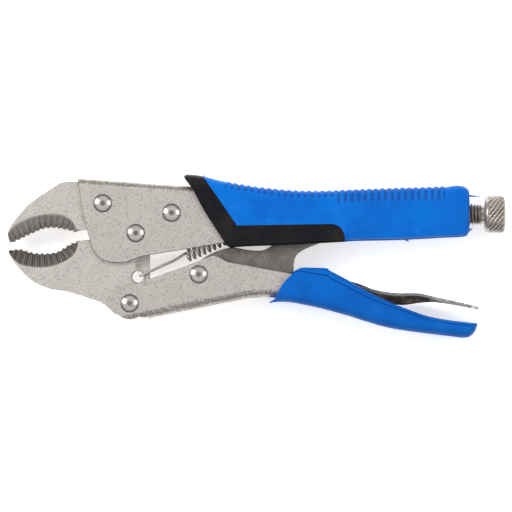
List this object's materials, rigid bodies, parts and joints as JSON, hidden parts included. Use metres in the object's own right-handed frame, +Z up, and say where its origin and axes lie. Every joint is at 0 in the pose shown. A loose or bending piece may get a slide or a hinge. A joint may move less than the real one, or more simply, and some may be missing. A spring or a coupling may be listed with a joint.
{
  "type": "locking pliers",
  "caption": "Curved-jaw locking pliers with a toggle link, a knurled adjusting screw, a release lever and two-tone moulded grips.",
  "frame": {"origin": "middle of the jaws' mouth, on the tool's middle plane", "axes": "+X along the tool from the jaws to the knob, parallel to the adjusting screw; +Y from the lower handle to the upper handle; +Z up through the thickness, so the tool lies on its side"},
  "size_m": [0.2242, 0.0736, 0.0206],
  "materials": {
    "nickel_steel": "satin, shot-blasted nickel plate",
    "polished_rivet": "polished rivet heads",
    "dark_steel": "dull dark plate",
    "lever_steel": "stamped steel with bright edges",
    "spring_steel": "drawn spring wire",
    "blue_moulding": "satin moulded grip",
    "black_moulding": "soft matt insert"
  },
  "bodies": {
    "root": {"upper_channel": "nickel_steel", "upper_jaw": "nickel_steel", "upper_jaw_front_rivet": "polished_rivet", "upper_jaw_rear_rivet": "polished_rivet", "jaw_pivot_rivet": "polished_rivet", "threaded_end_block": "dark_steel", "upper_grip": "blue_moulding", "upper_grip_insert": "black_moulding", "return_spring": "spring_steel"},
    "lower_jaw": {"lower_jaw": "nickel_steel"},
    "lower_handle": {"lower_handle": "nickel_steel", "handle_pivot_rivet": "polished_rivet", "link_pivot_rivet": "polished_rivet", "release_lever_pin": "dark_steel", "lower_sleeve": "blue_moulding"},
    "toggle_link": {"toggle_link": "dark_steel"},
    "release_lever": {"release_lever": "lever_steel"},
    "adjusting_screw": {"adjusting_screw": "nickel_steel"},
    "screw_knob": {"screw_knob": "nickel_steel"}
  },
  "joints": [
    {"name": "jaw_pivot", "type": "hinge", "parent": "root", "child": "lower_jaw", "pos_m": [0.0387, 0.0036, 0], "axis": [0, 0, 1], "range_deg": [0, 22.01], "deforming": ["return_spring"]},
    {"name": "handle_pivot", "type": "hinge", "parent": "lower_jaw", "child": "lower_handle", "pos_m": [0.036, -0.0279, 0], "axis": [0, 0, 1], "range_deg": [-62.9, 0]},
    {"name": "link_pivot", "type": "hinge", "parent": "lower_handle", "child": "toggle_link", "pos_m": [0.067, -0.0149, 0], "axis": [0, 0, 1], "range_deg": [0, 60.71]},
    {"name": "release_lever_pivot", "type": "hinge", "parent": "lower_handle", "child": "release_lever", "pos_m": [0.1125, -0.0194, 0], "axis": [0, 0, 1], "range_deg": [-4.2, 0]},
    {"name": "screw_travel", "type": "slide", "parent": "root", "child": "adjusting_screw", "axis": [1, 0, 0], "range_m": [0, 0.009]},
    {"name": "knob_turn", "type": "hinge", "parent": "adjusting_screw", "child": "screw_knob", "pos_m": [0.1954, 0.01205, 0], "axis": [1, 0, 0], "range_deg": [0, 2160]}
  ],
  "couplings": [
    {"joint": "jaw_pivot", "follows": "handle_pivot", "ratio": -0.34976},
    {"joint": "link_pivot", "follows": "handle_pivot", "ratio": -0.96502},
    {"joint": "knob_turn", "follows": "screw_travel", "rad_per_m": 4188.8}
  ]
}
